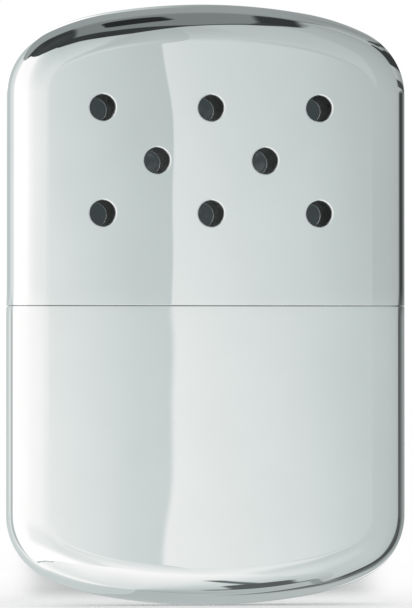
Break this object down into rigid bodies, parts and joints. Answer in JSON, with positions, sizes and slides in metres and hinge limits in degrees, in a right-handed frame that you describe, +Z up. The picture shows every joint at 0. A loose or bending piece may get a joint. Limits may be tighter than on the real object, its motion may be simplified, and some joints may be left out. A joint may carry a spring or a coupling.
{
  "type": "catalytic hand warmer",
  "caption": "Pocket catalytic hand warmer: a rounded metal fuel tank, a burner that pulls off its filling mouth, and a vented lid that pulls off its neck.",
  "frame": {"origin": "middle of the body, at the height of the bottom crown", "axes": "+Z up from the tank to the lid, X across the width, -Y out of the front face"},
  "size_m": [0.0664, 0.013, 0.0995],
  "materials": {
    "chrome_plate": "mirror-bright plate over drawn sheet, with faint polishing lines",
    "bright_neck": "satin, with slide marks that run along the neck",
    "burner_steel": "satin, with a faint heat tint near the windows",
    "catalyst_fibre": "matted glass fibre with a grey metal coat",
    "cotton": "packed cotton",
    "felt": "dense pressed felt"
  },
  "bodies": {
    "tank": {"tank_shell": "chrome_plate", "neck_shell": "bright_neck", "mouth_collar": "bright_neck", "fuel_wadding": "cotton", "wick_pad": "felt"},
    "burner": {"burner_skirt": "burner_steel", "burner_grid": "burner_steel", "catalyst_mat": "catalyst_fibre", "burner_cage": "burner_steel"},
    "cover": {"lid_shell": "chrome_plate"}
  },
  "joints": [
    {"name": "lid_pull", "type": "slide", "parent": "tank", "child": "cover", "axis": [0, 0, 1], "range_m": [0, 0.04]},
    {"name": "burner_pull", "type": "slide", "parent": "tank", "child": "burner", "axis": [0, 0, 1], "range_m": [0, 0.012]}
  ]
}
